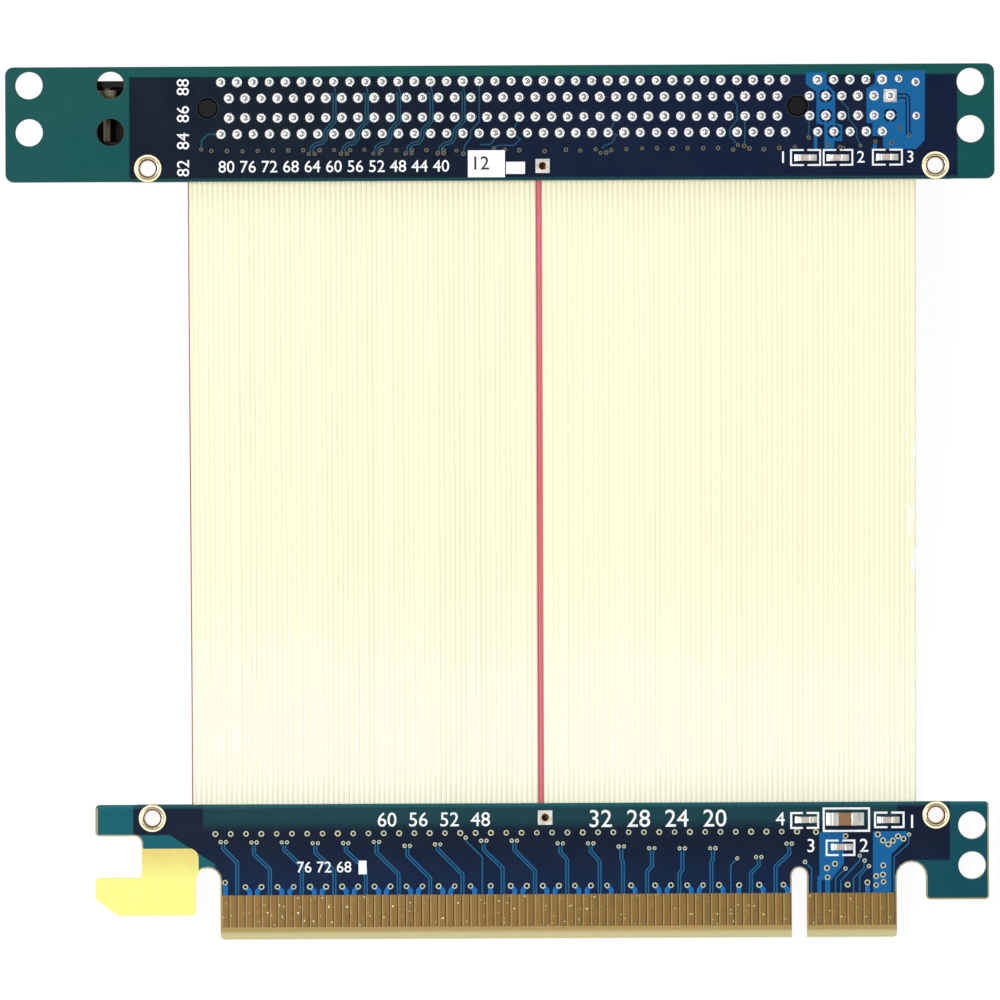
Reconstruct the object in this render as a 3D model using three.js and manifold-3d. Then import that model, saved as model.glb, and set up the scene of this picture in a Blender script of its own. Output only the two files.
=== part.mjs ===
// A flexible riser cable for a graphics card: a small board with a card slot behind it, a board that
// ends in an edge plug, and two flat ribbon cables between them. Millimetres, +Z up.
// It lies face up, with the slot's mouth and the plug's rivets on z = 0. The origin is under the
// middle of the slot board's length and under the middle of the whole cable's depth.

import * as THREE from 'three';
import { mergeGeometries, mergeVertices } from 'three/addons/utils/BufferGeometryUtils.js';
import Module from 'manifold-3d';

const wasm = await Module();
wasm.setup();

// Boards
const boardThickness = 1.57;
const riserLength = 122.65;
const riserWidth = 14.27;
const riserCorner = 1;
const plugDepth = 16.83; // from the edge where the ribbons end to the tongue's tip
const plugCorner = 0.5;
const screwHole = 3.4;
const screwHoleSpread = 5.85; // between the two holes of a pair, centre to centre
const endHoleInset = 2.95; // from a board's end
const latchHoleShare = 0.5495; // of the board left of the slot, from its end to the latch's holes

// Ribbons
const ribbonSpan = 77.45; // what shows between the boards
const ribbonTail = 0.16; // what lies past the clamp bar under each board
const wirePitch = 0.635;
const leftWires = 68;
const rightWires = 74;
const ribbonThickness = 0.65;
const ribbonWeb = 0.35; // thickness between two wires
const ribbonGap = 0.15; // between the two ribbons
const ribbonOverhang = 3.15; // past contact one
const ribbonKnots = [1, 0.8, 0.2, 0]; // where the bend is measured, as shares of the span

// Contacts, counted from the right, in two rows
const contactsPerSide = 82;
const contactPitch = 1;
const contactsBeforeKey = 11;
const keySpan = 3; // from contact eleven to contact twelve
const rightRoomShare = 0.2942; // of the board's length beside the slot, what lies right of it

// Card slot
const slotHeight = 11.25;
const slotWidth = 7.5;
const slotAxisShare = 0.363; // of the board's width, from its outer edge to the slot's axis
const slotEndMargin = 3; // past the first and last contact
const slotBevel = 0.5;
const mouthWidth = 1.8;
const mouthDepth = 9.3;
const mouthLead = 0.4; // the mouth's chamfer
const cardClearance = 0.2;
const contactWidth = 0.5;
const contactBulge = 0.3; // how far a contact stands into the mouth
const contactSetback = 1.2; // from the mouth to a contact
const pegDiameter = 2.35;
const pegClearance = 0.13;
const leftPegOffset = 1.65; // outward of the last contact

// Solder joints of the slot's 164 pins
const innerRow = 1.22; // from the slot's axis
const outerRow = 3.22;
const jointDiameter = 1.24;
const jointTip = 0.5;
const jointHeight = 0.7;
const jointRoot = 0.4; // how far a joint's cone runs down into the board
const jointSides = 6;

// Plug board's outline, up from the tongue's tip
const tongueMargin = 0.65; // past the first and last contact
const plugRightReach = 12.15; // from contact one to the right end
const plugLeftReach = 16.2; // from the last contact to the left end
const keyNotchWidth = 1.9;
const keyNotchDepth = 8.65;
const rightArchWidth = 3.65;
const rightArchDepth = 9.32;
const leftArchWidth = 3.1;
const leftArchDepth = 8.92;
const rightTabRise = 4.65;
const hookBottomRise = 3.05;
const hookShoulderRise = 5.15;
const hookToeInset = 2.8;
const hookTopRise = 7.75;
const hookNotchHeight = 5.2;
const hookNotchDepth = 5.75;
const hookNotchRound = 0.9;
const tongueBevelLength = 1.05;
const tongueBevelDepth = 0.4;
const plugHoleInset = 2.1; // from the right end
const plugHoleDrop = 2.95; // from the ribbons' edge
const plugHoleSpread = 5;

// Clamp bars and their eyelet rivets
const barThickness = 1;
const barShare = 0.234; // of the slot board's width
const barEndMargin = 2.05; // past a rivet's centre
const clampClearance = 0.1;
const rivetBore = 2;
const rivetTube = 2.6;
const rivetFlange = 3.43;
const rivetFlangeThickness = 0.3;
const rivetFlare = 0.3;
const rivetClearance = 0.1;
const rightRivetOffset = 5.57; // outward of contact one
const leftRivetOffset = 9.1; // outward of the last contact

// Retention latch and the two cheeks that carry it
const cheekThickness = 0.8;
const outerCheek = 3.48; // from the slot's axis to the outer face of the cheek at the board's edge
const innerCheek = 4.82; // the same for the cheek on the ribbons' side
const cheekReach = 14.6; // past the slot's end
const cheekLow = 4;
const cheekRound = 1.25;
const webInset = 3; // from the slot's end
const webThickness = 1;
const latchClearance = 0.3;
const pivotReach = 11.2; // past the slot's end
const pivotDrop = 1.95; // below the board
const pinDiameter = 0.9;
const pinClearance = 0.15;
const pinSides = 12;
const hubRadius = 1.25;
const hubWidth = 3.4;
const leverThickness = 2.2;
const leverGap = 0.6; // from the inserted card's hook
const toothLength = 4.7;
const toothWidth = 3;

// Parts on the boards' faces
const platedHole = 0.9;
const platedHoleOffset = 43.14; // left of contact one
const riserPlatedHoleInset = 1.77; // from the ribbons' edge
const plugPlatedHoleInset = 1.78;
const stickerLength = 4.6;
const stickerWidth = 3.35;
const stickerThickness = 0.12;
const stickerOffset = 50.1; // left of contact one
const stickerInset = 2.07; // from the ribbons' edge
const capacitorSeat = 0.02; // solder under a capacitor
const capacitorDip = 0.08; // how far its body lies below its end caps
const capShare = 0.25; // of its length
const filletShare = 0.7; // of its height
const smallCapacitor = { length: 1.6, width: 0.8, height: 0.8, fillet: 0.6 };
const largeCapacitor = { length: 3.2, width: 1.6, height: 1.25, fillet: 0.8 };

// What follows from the slot board's size
const contactSpan = (contactsPerSide - 1) * contactPitch + keySpan - contactPitch;
const endRoom = riserLength - contactSpan - 2 * slotEndMargin;
const contactOneInset = rightRoomShare * endRoom + slotEndMargin;
const latchHoleInset = latchHoleShare * (1 - rightRoomShare) * endRoom;
const slotAxisInset = slotAxisShare * riserWidth;
const barWidth = barShare * riserWidth;
const ribbonHold = barWidth + ribbonTail;

// Levels
const riserBack = slotHeight;
const riserFront = riserBack + boardThickness;
const clampStack = barThickness + ribbonThickness + 2 * clampClearance;
const plugBack = rivetFlangeThickness + clampStack;
const plugFront = plugBack + boardThickness;

// Places along the depth, from the slot board's outer edge down to the tongue's tip
const wholeDepth = riserWidth + ribbonSpan + plugDepth;
const riserTopY = wholeDepth / 2;
const riserEdgeY = riserTopY - riserWidth;
const plugEdgeY = riserEdgeY - ribbonSpan;
const tipY = plugEdgeY - plugDepth;
const slotY = riserTopY - slotAxisInset;

// Places along the length
const riserRightX = riserLength / 2;

function contactX(number) {
  const pastKey = number > contactsBeforeKey ? keySpan - contactPitch : 0;
  return riserRightX - contactOneInset - (number - 1) * contactPitch - pastKey;
}

const firstX = contactX(1);
const lastX = contactX(contactsPerSide);
const keyX = (contactX(contactsBeforeKey) + contactX(contactsBeforeKey + 1)) / 2;
const slotLeftX = lastX - slotEndMargin;
const plugRightX = firstX + plugRightReach;
const plugLeftX = lastX - plugLeftReach;
const rivetXs = { left: lastX - leftRivetOffset, right: firstX + rightRivetOffset };
const platedHoleX = firstX - platedHoleOffset;
const pegs = [
  [keyX, slotY],
  [lastX - leftPegOffset, slotY],
];

const axisX = new THREE.Vector3(1, 0, 0);
const axisY = new THREE.Vector3(0, 1, 0);
const axisZ = new THREE.Vector3(0, 0, 1);
const arcStep = Math.PI / 8;
const rivetSides = 16;
const quarter = Math.PI / 2;

function arc(x, y, radius, from, to) {
  const steps = Math.max(2, Math.round(Math.abs(to - from) / arcStep));
  return Array.from({ length: steps + 1 }, (_, step) => {
    const angle = from + ((to - from) * step) / steps;
    return new THREE.Vector2(x + radius * Math.cos(angle), y + radius * Math.sin(angle));
  });
}

function circle(x, y, diameter) {
  return new THREE.Path(arc(x, y, diameter / 2, 0, 4 * quarter).slice(0, -1));
}

function points(...pairs) {
  return pairs.map(([x, y]) => new THREE.Vector2(x, y));
}

// An outline seen from above, raised from one level to another.
function raised(outline, holes, bottom, top) {
  const shape = new THREE.Shape(outline);
  shape.holes = holes;
  const geometry = new THREE.ExtrudeGeometry(shape, { depth: top - bottom, bevelEnabled: false });
  return geometry.translate(0, 0, bottom);
}

// A section in Y and Z, drawn out along X.
function alongX(section, from, to) {
  const shape = new THREE.Shape(section);
  const geometry = new THREE.ExtrudeGeometry(shape, { depth: to - from, bevelEnabled: false });
  geometry.applyMatrix4(new THREE.Matrix4().makeBasis(axisY, axisZ, axisX));
  return geometry.translate(from, 0, 0);
}

// A section in X and Z, drawn out along Y.
function alongY(section, from, to) {
  const shape = new THREE.Shape(section);
  const geometry = new THREE.ExtrudeGeometry(shape, { depth: to - from, bevelEnabled: false });
  geometry.applyMatrix4(new THREE.Matrix4().makeBasis(axisX, axisZ, axisY.clone().negate()));
  return geometry.translate(0, to, 0);
}

function block(left, right, near, far, bottom, top) {
  const geometry = new THREE.BoxGeometry(right - left, far - near, top - bottom);
  return geometry.translate((left + right) / 2, (near + far) / 2, (bottom + top) / 2);
}

function solid(geometry) {
  const bare = geometry.clone();
  bare.deleteAttribute('normal');
  bare.deleteAttribute('uv');
  const merged = mergeVertices(bare);
  return new wasm.Manifold(new wasm.Mesh({
    numProp: 3,
    vertProperties: merged.attributes.position.array,
    triVerts: Uint32Array.from(merged.index.array),
  }));
}

function surface(body) {
  const mesh = body.getMesh();
  const indexed = new THREE.BufferGeometry();
  indexed.setAttribute('position', new THREE.BufferAttribute(mesh.vertProperties, 3));
  indexed.setIndex(new THREE.BufferAttribute(mesh.triVerts, 1));
  const geometry = indexed.toNonIndexed();
  geometry.computeVertexNormals();
  return geometry;
}

// The slot board: a plain strip with screw holes, rivet holes and a domed solder joint on each pin.
function riserBoard() {
  const cornerX = riserRightX - riserCorner;
  const topCornerY = riserTopY - riserCorner;
  const lowCornerY = riserEdgeY + riserCorner;
  const outline = [
    ...arc(cornerX, topCornerY, riserCorner, 0, quarter),
    ...arc(-cornerX, topCornerY, riserCorner, quarter, 2 * quarter),
    ...arc(-cornerX, lowCornerY, riserCorner, 2 * quarter, 3 * quarter),
    ...arc(cornerX, lowCornerY, riserCorner, 3 * quarter, 4 * quarter),
  ];
  const screwHoles = [riserRightX - endHoleInset, endHoleInset - riserRightX, latchHoleInset - riserRightX]
    .flatMap((x) => [1, -1].map((side) => circle(x, slotY + (side * screwHoleSpread) / 2, screwHole)));
  const rivetHoles = Object.values(rivetXs)
    .map((x) => circle(x, riserEdgeY + barWidth / 2, rivetTube + 2 * rivetClearance));
  const pegHoles = pegs.map(([x, y]) => circle(x, y, pegDiameter + 2 * pegClearance));
  const smallHole = circle(platedHoleX, riserEdgeY + riserPlatedHoleInset, platedHole);
  const holes = [...screwHoles, ...rivetHoles, ...pegHoles, smallHole];
  const board = solid(raised(outline, holes, riserBack, riserFront));
  return surface(board.add(solid(mergeGeometries(solderJoints()))));
}

// Even contacts sit in the outer rows, odd ones in the inner rows.
function solderJoints() {
  const joints = [];
  const middleZ = riserFront + (jointHeight - jointRoot) / 2;
  for (let number = 1; number <= contactsPerSide; number += 1) {
    const row = number % 2 ? innerRow : outerRow;
    for (const side of [1, -1]) {
      const length = jointHeight + jointRoot;
      const joint = new THREE.CylinderGeometry(jointTip / 2, jointDiameter / 2, length, jointSides);
      joint.rotateX(quarter);
      joints.push(joint.translate(contactX(number), slotY + side * row, middleZ));
    }
  }
  return joints;
}

// The plug board's outline, anticlockwise from its upper right corner.
function plugOutline() {
  const c = plugCorner;
  const tongueRightX = firstX + tongueMargin;
  const tongueLeftX = lastX - tongueMargin;
  const archRadius = { left: leftArchWidth / 2, right: rightArchWidth / 2 };
  const notchX = plugLeftX + hookNotchDepth;
  const hookTopY = tipY + hookTopRise;
  const notchTopY = hookTopY + hookNotchHeight;
  const hookRightX = tongueLeftX - leftArchWidth;
  const tabLeftX = tongueRightX + rightArchWidth;
  return [
    ...arc(plugRightX - c, plugEdgeY - c, c, 0, quarter),
    ...arc(plugLeftX + c, plugEdgeY - c, c, quarter, 2 * quarter),
    ...arc(plugLeftX + c, notchTopY + c, c, 2 * quarter, 3 * quarter),
    ...arc(notchX - hookNotchRound, notchTopY - hookNotchRound, hookNotchRound, quarter, 0),
    ...arc(notchX - c, hookTopY + c, c, 0, -quarter),
    ...arc(plugLeftX + c, hookTopY - c, c, quarter, 2 * quarter),
    new THREE.Vector2(plugLeftX, tipY + hookShoulderRise),
    new THREE.Vector2(plugLeftX + hookToeInset, tipY + hookBottomRise),
    ...arc(hookRightX - c, tipY + hookBottomRise + c, c, -quarter, 0),
    ...arc(hookRightX + archRadius.left, tipY + leftArchDepth - archRadius.left, archRadius.left, 2 * quarter, 0),
    ...arc(tongueLeftX + c, tipY + c, c, 2 * quarter, 3 * quarter),
    new THREE.Vector2(keyX - keyNotchWidth / 2, tipY),
    ...arc(keyX, tipY + keyNotchDepth - keyNotchWidth / 2, keyNotchWidth / 2, 2 * quarter, 0),
    new THREE.Vector2(keyX + keyNotchWidth / 2, tipY),
    ...arc(tongueRightX - c, tipY + c, c, 3 * quarter, 4 * quarter),
    ...arc(tongueRightX + archRadius.right, tipY + rightArchDepth - archRadius.right, archRadius.right, 2 * quarter, 0),
    ...arc(tabLeftX + c, tipY + rightTabRise + c, c, 2 * quarter, 3 * quarter),
    ...arc(plugRightX - c, tipY + rightTabRise + c, c, 3 * quarter, 4 * quarter),
  ];
}

// What the bevel takes off the tongue's tip on one face: side 1 is the front, -1 the back.
function tipBevel(face, side) {
  const past = 1;
  const slope = tongueBevelDepth / tongueBevelLength;
  const section = points(
    [tipY + tongueBevelLength, face],
    [tipY + tongueBevelLength, face + side * past],
    [tipY - past, face + side * past],
    [tipY - past, face - side * (tongueBevelLength + past) * slope],
  );
  return solid(alongX(section, lastX - slotEndMargin, firstX + slotEndMargin));
}

function plugBoard() {
  const screwHoles = [0, 1].map((row) => circle(
    plugRightX - plugHoleInset,
    plugEdgeY - plugHoleDrop - row * plugHoleSpread,
    screwHole,
  ));
  const rivetHoles = Object.values(rivetXs)
    .map((x) => circle(x, plugEdgeY - barWidth / 2, rivetTube + 2 * rivetClearance));
  const smallHole = circle(platedHoleX, plugEdgeY - plugPlatedHoleInset, platedHole);
  const holes = [...screwHoles, ...rivetHoles, smallHole];
  const board = solid(raised(plugOutline(), holes, plugBack, plugFront));
  return surface(board.subtract(tipBevel(plugFront, 1)).subtract(tipBevel(plugBack, -1)));
}

// The mouth's outline with a ridge for each contact, on one side of the key.
function comb(first, last) {
  const right = contactX(first) + tongueMargin + cardClearance;
  const left = contactX(last) - tongueMargin - cardClearance;
  const wall = mouthWidth / 2;
  const crest = wall - contactBulge;
  const reach = contactWidth / 2;
  const outer = [];
  const inner = [];
  for (let number = first; number <= last; number += 1) {
    const x = contactX(number);
    outer.push([x + reach, wall], [x + reach, crest], [x - reach, crest], [x - reach, wall]);
    inner.push([x + reach, -wall], [x + reach, -crest], [x - reach, -crest], [x - reach, -wall]);
  }
  const around = [[right, wall], ...outer, [left, wall], [left, -wall], ...inner.reverse(), [right, -wall]];
  return points(...around.map(([x, y]) => [x, slotY + y]));
}

// The card slot: a long moulded bar, its mouth split by the key, two pegs and the latch's cheeks.
function slotHousing() {
  const half = slotWidth / 2;
  const section = points(
    [slotY - half, slotHeight],
    [slotY - half, slotBevel],
    [slotY - half + slotBevel, 0],
    [slotY + half - slotBevel, 0],
    [slotY + half, slotBevel],
    [slotY + half, slotHeight],
  );
  let body = solid(alongX(section, slotLeftX, firstX + slotEndMargin));
  for (const [first, last] of [[1, contactsBeforeKey], [contactsBeforeKey + 1, contactsPerSide]]) {
    body = body.subtract(solid(mouth(first, last)));
    body = body.subtract(solid(raised(comb(first, last), [], contactSetback / 2, mouthDepth)));
  }
  body = body.subtract(solid(mouthChamfer()));
  for (const [x, y] of pegs) {
    body = body.add(solid(raised(circle(x, y, pegDiameter).getPoints(), [], slotHeight - 1, riserFront)));
  }
  return surface(latchCheeks().reduce((whole, piece) => whole.add(piece), body));
}

function mouth(first, last) {
  const right = contactX(first) + tongueMargin + cardClearance;
  const left = contactX(last) - tongueMargin - cardClearance;
  return block(left, right, slotY - mouthWidth / 2, slotY + mouthWidth / 2, -1, contactSetback);
}

function mouthChamfer() {
  const half = mouthWidth / 2;
  const section = points(
    [slotY - half - 2 * mouthLead, -mouthLead],
    [slotY + half + 2 * mouthLead, -mouthLead],
    [slotY + half, mouthLead],
    [slotY - half, mouthLead],
  );
  const reach = tongueMargin + cardClearance;
  return alongX(section, lastX - reach, firstX + reach);
}

const pivotX = slotLeftX - pivotReach;
const pivotZ = riserBack - pivotDrop;
const pocketFarY = slotY + outerCheek - cheekThickness;
const pocketNearY = slotY - innerCheek + cheekThickness;

// Two cheeks with a bore for the latch's pin, and two cross webs just clear of the card's hook.
function latchCheeks() {
  const endX = slotLeftX - cheekReach;
  const section = points(
    [slotLeftX + slotBevel, slotHeight],
    [endX, slotHeight],
    [endX, cheekLow + cheekRound],
    [endX + cheekRound, cheekLow],
    [slotLeftX + slotBevel, cheekLow],
  );
  const boreRadius = pinDiameter / 2 + pinClearance;
  const boreLength = 2 * (outerCheek + innerCheek);
  const bore = new THREE.CylinderGeometry(boreRadius, boreRadius, boreLength, pinSides);
  bore.translate(pivotX, slotY, pivotZ);
  const cheeks = [
    [pocketFarY, pocketFarY + cheekThickness],
    [pocketNearY - cheekThickness, pocketNearY],
  ].map(([from, to]) => solid(alongY(section, from, to)).subtract(solid(bore)));
  const webLeftX = slotLeftX - webInset - webThickness;
  const nearY = pocketNearY - cheekThickness / 2;
  const farY = pocketFarY + cheekThickness / 2;
  const hookLowZ = mouthDepth - hookBottomRise;
  const webs = [
    [webLeftX, webLeftX + webThickness],
    [slotLeftX - webThickness, slotLeftX + slotBevel],
  ].map(([from, to]) => solid(block(from, to, nearY, farY, hookLowZ + latchClearance, slotHeight)));
  return [...cheeks, ...webs];
}

// The latch: a lever on a pin across the cheeks, with a tooth that holds the card's hook.
function slotLatch() {
  const innerX = plugLeftX - leverGap;
  const outerX = innerX - leverThickness;
  const toothTopZ = latchClearance;
  const hookTopZ = mouthDepth - hookTopRise;
  const toothLowZ = hookTopZ - latchClearance / 2;
  const neckZ = pivotZ - hubRadius - leverThickness;
  const overlap = leverThickness / 2;
  const nearY = pocketNearY + latchClearance;
  const farY = pocketFarY - latchClearance;
  const lever = points(
    [outerX, toothTopZ + slotBevel],
    [outerX + slotBevel, toothTopZ],
    [innerX, toothTopZ],
    [innerX, neckZ],
    [innerX - overlap, neckZ + overlap],
    [outerX, neckZ],
  );
  const tooth = points(
    [innerX - overlap, toothTopZ],
    [innerX + latchClearance, toothTopZ],
    [innerX + toothLength, toothLowZ - latchClearance],
    [innerX + toothLength, toothLowZ],
    [innerX - overlap, toothLowZ],
  );
  const neck = [
    new THREE.Vector2(outerX + slotBevel, neckZ - overlap),
    new THREE.Vector2(innerX - slotBevel, neckZ - overlap),
    ...arc(pivotX, pivotZ, hubRadius, -quarter, 1.5 * quarter),
  ];
  const pinEnd = cheekThickness - pinClearance;
  const pin = new THREE.CylinderGeometry(
    pinDiameter / 2,
    pinDiameter / 2,
    pocketFarY - pocketNearY + 2 * pinEnd,
    pinSides,
  ).translate(pivotX, (pocketFarY + pocketNearY) / 2, pivotZ);
  return surface(
    solid(alongY(lever, nearY, farY))
      .add(solid(alongY(tooth, slotY - toothWidth / 2, slotY + toothWidth / 2)))
      .add(solid(alongY(neck, farY - hubWidth, farY)))
      .add(solid(pin)),
  );
}

function clampBar(nearY, frontZ) {
  const outline = points(
    [rivetXs.left - barEndMargin, nearY],
    [rivetXs.right + barEndMargin, nearY],
    [rivetXs.right + barEndMargin, nearY + barWidth],
    [rivetXs.left - barEndMargin, nearY + barWidth],
  );
  const holes = Object.values(rivetXs)
    .map((x) => circle(x, nearY + barWidth / 2, rivetTube + 2 * rivetClearance));
  return raised(outline, holes, frontZ - barThickness, frontZ);
}

// A brass tube with a flat flange behind the bar and a rolled, flared one on the board's face.
function rivet(boardBack) {
  const low = boardBack - clampStack - rivetFlangeThickness;
  const high = boardBack + boardThickness + rivetFlangeThickness;
  const bore = rivetBore / 2;
  const tube = rivetTube / 2;
  const flange = rivetFlange / 2;
  const edge = rivetFlangeThickness / 2;
  const profile = points(
    [bore, low],
    [flange - edge, low],
    [flange, low + edge],
    [flange, low + rivetFlangeThickness],
    [tube, low + rivetFlangeThickness],
    [tube, high - rivetFlangeThickness],
    [flange, high - rivetFlangeThickness],
    [flange, high - edge],
    [flange - edge, high],
    [bore + rivetFlare, high],
    [bore, high - rivetFlare],
    [bore, low],
  );
  return new THREE.LatheGeometry(profile, rivetSides).rotateX(quarter);
}

// The ribbon's height as a share of the drop: level at both ends, steepest in the middle.
function bend(share) {
  return share * share * (3 - 2 * share);
}

const ribbonRiserZ = riserBack - clampClearance - ribbonThickness / 2;
const ribbonPlugZ = plugBack - clampClearance - ribbonThickness / 2;
const ribbonStations = [
  [riserEdgeY + ribbonHold, ribbonRiserZ],
  ...ribbonKnots.map((share) => [
    plugEdgeY + share * ribbonSpan,
    ribbonPlugZ + bend(share) * (ribbonRiserZ - ribbonPlugZ),
  ]),
  [plugEdgeY - ribbonHold, ribbonPlugZ],
];

// A ribbon's section has a crest over each wire and a valley between two wires.
function ribbon(rightX, wires) {
  const crest = ribbonThickness / 2;
  const valley = ribbonWeb / 2;
  const leftX = rightX - wires * wirePitch;
  const under = [];
  for (let wire = 0; wire < wires; wire += 1) {
    under.push([leftX + wire * wirePitch, -valley], [leftX + (wire + 0.5) * wirePitch, -crest]);
  }
  under.push([rightX, -valley]);
  const over = under.map(([x, z]) => [x, -z]).reverse();
  const spans = ribbonStations.length - 1;
  const section = new THREE.Shape(points(...under, ...over));
  const geometry = new THREE.ExtrudeGeometry(section, { depth: spans, steps: spans, bevelEnabled: false });
  const position = geometry.attributes.position;
  for (let index = 0; index < position.count; index += 1) {
    const [y, z] = ribbonStations[Math.round(position.getZ(index))];
    position.setXYZ(index, position.getX(index), y, z + position.getY(index));
  }
  geometry.computeVertexNormals();
  return geometry;
}

// A chip capacitor between two solder fillets.
function capacitor(size, x, y, boardFront) {
  const half = size.length / 2;
  const foot = half + size.fillet;
  const cap = size.length * capShare;
  const right = [
    [foot, 0],
    [half, size.height * filletShare],
    [half, size.height],
    [half - cap, size.height],
    [half - cap, size.height - capacitorDip],
  ];
  const left = right.map(([across, up]) => [-across, up]).reverse();
  const geometry = alongY(points(...right, ...left), -size.width / 2, size.width / 2);
  return geometry.translate(x, y, boardFront + capacitorSeat);
}

// Capacitors: how far left of contact one, and how far in from the board's edge by the ribbons.
const riserCapacitors = [
  [10.51, 2.65, smallCapacitor],
  [6.52, 2.63, smallCapacitor],
  [0.4, 2.68, smallCapacitor],
];
const plugCapacitors = [
  [10.64, 2.2, smallCapacitor],
  [5.78, 2.12, largeCapacitor],
  [0.36, 2.25, smallCapacitor],
  [6.18, 5.6, smallCapacitor],
];

const solderMask = { color: 0x175d5a, roughness: 0.42, metalness: 0.05 };
const blackMoulding = { color: 0x16161a, roughness: 0.55, metalness: 0 };
const beigeMoulding = { color: 0xb9ab8c, roughness: 0.5, metalness: 0 };
const creamJacket = { color: 0xfaf6d6, roughness: 0.5, metalness: 0 };
const brass = { color: 0xd9b96a, roughness: 0.25, metalness: 1 };
const ceramic = { color: 0xb9a79a, roughness: 0.5, metalness: 0.1 };
const brownCeramic = { color: 0x6b4a35, roughness: 0.5, metalness: 0.1 };
const whitePaper = { color: 0xfcfbfe, roughness: 0.8, metalness: 0 };

const cable = new THREE.Group();

function addPiece(name, geometry, finish) {
  const piece = new THREE.Mesh(geometry, new THREE.MeshStandardMaterial({ ...finish, flatShading: true }));
  piece.name = name;
  cable.add(piece);
}

addPiece('riser_board', riserBoard(), solderMask);
addPiece('slot_housing', slotHousing(), blackMoulding);
addPiece('slot_latch', slotLatch(), beigeMoulding);
addPiece('plug_board', plugBoard(), solderMask);
const ribbonRightX = firstX + ribbonOverhang;
addPiece('right_ribbon', ribbon(ribbonRightX, rightWires), creamJacket);
addPiece('left_ribbon', ribbon(ribbonRightX - rightWires * wirePitch - ribbonGap, leftWires), creamJacket);
const barFrontDrop = ribbonThickness + 2 * clampClearance;
addPiece('riser_clamp_bar', clampBar(riserEdgeY, riserBack - barFrontDrop), blackMoulding);
addPiece('plug_clamp_bar', clampBar(plugEdgeY - barWidth, plugBack - barFrontDrop), blackMoulding);
for (const [side, x] of Object.entries(rivetXs)) {
  addPiece(`riser_rivet_${side}`, rivet(riserBack).translate(x, riserEdgeY + barWidth / 2, 0), brass);
  addPiece(`plug_rivet_${side}`, rivet(plugBack).translate(x, plugEdgeY - barWidth / 2, 0), brass);
}
riserCapacitors.forEach(([offset, inset, size], index) => {
  const body = capacitor(size, firstX - offset, riserEdgeY + inset, riserFront);
  addPiece(`riser_capacitor_${index + 1}`, body, ceramic);
});
plugCapacitors.forEach(([offset, inset, size], index) => {
  const body = capacitor(size, firstX - offset, plugEdgeY - inset, plugFront);
  addPiece(`plug_capacitor_${index + 1}`, body, size === largeCapacitor ? brownCeramic : ceramic);
});
const stickerX = firstX - stickerOffset;
const stickerY = riserEdgeY + stickerInset;
addPiece('paper_sticker', block(
  stickerX - stickerLength / 2,
  stickerX + stickerLength / 2,
  stickerY - stickerWidth / 2,
  stickerY + stickerWidth / 2,
  riserFront,
  riserFront + stickerThickness,
), whitePaper);

export default cable;
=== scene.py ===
import math
import random

import bmesh
import bpy
from mathutils import Matrix, Vector


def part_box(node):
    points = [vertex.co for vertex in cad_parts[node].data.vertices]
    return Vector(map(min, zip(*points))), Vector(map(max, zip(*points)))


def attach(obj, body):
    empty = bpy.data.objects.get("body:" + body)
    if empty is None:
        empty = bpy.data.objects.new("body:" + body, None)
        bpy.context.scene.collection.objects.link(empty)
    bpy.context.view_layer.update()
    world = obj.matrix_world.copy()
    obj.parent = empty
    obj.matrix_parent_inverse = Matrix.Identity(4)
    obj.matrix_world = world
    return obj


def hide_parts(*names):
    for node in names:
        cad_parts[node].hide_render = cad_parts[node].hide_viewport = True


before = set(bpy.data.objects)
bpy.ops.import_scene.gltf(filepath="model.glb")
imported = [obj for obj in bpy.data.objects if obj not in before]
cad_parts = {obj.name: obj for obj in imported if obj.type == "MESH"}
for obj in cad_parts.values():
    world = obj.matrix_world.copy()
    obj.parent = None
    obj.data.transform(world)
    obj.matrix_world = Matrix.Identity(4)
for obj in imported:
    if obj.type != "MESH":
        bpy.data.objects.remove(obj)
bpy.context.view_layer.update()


# The camera of the photograph: straight above, 1.79 m away with a very long lens, turned a quarter
# of a degree.
def link(obj):
    bpy.context.scene.collection.objects.link(obj)
    return obj


camera = link(bpy.data.objects.new("camera", bpy.data.cameras.new("camera")))
camera.location = (-0.000175, 0.000375, 1.7937)
camera.rotation_euler = (0, 0, -0.00436)
camera.data.sensor_width = 36
camera.data.lens = 517.07
bpy.context.scene.camera = camera
bpy.context.scene.view_settings.view_transform = "Standard"


# The light of a pale studio: soft from all sides, dim straight overhead so that the dark boards stay
# dark, and one broad lamp above the slot board.
class Shade:
    """A value in a node tree. Arithmetic makes Math nodes, and node makes any other kind."""

    def __init__(self, tree, socket=None):
        self.tree, self.socket = tree, socket

    def node(self, kind, settings=None, sockets=None, output=0):
        made = self.tree.nodes.new(kind)
        for key, value in (settings or {}).items():
            setattr(made, key, value)
        for key, value in (sockets or {}).items():
            if isinstance(value, Shade):
                self.tree.links.new(value.socket, made.inputs[key])
            else:
                made.inputs[key].default_value = value
        return Shade(self.tree, made.outputs[output] if len(made.outputs) else None)

    def __add__(self, other):
        return self.node("ShaderNodeMath", {"operation": "ADD"}, {0: self, 1: other})

    def __sub__(self, other):
        return self.node("ShaderNodeMath", {"operation": "SUBTRACT"}, {0: self, 1: other})

    def __rsub__(self, other):
        return self.node("ShaderNodeMath", {"operation": "SUBTRACT"}, {0: other, 1: self})

    def __mul__(self, other):
        return self.node("ShaderNodeMath", {"operation": "MULTIPLY"}, {0: self, 1: other})

    def __truediv__(self, other):
        return self.node("ShaderNodeMath", {"operation": "DIVIDE"}, {0: self, 1: other})

    def __rtruediv__(self, other):
        return self.node("ShaderNodeMath", {"operation": "DIVIDE"}, {0: other, 1: self})

    __radd__ = __add__
    __rmul__ = __mul__


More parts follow.
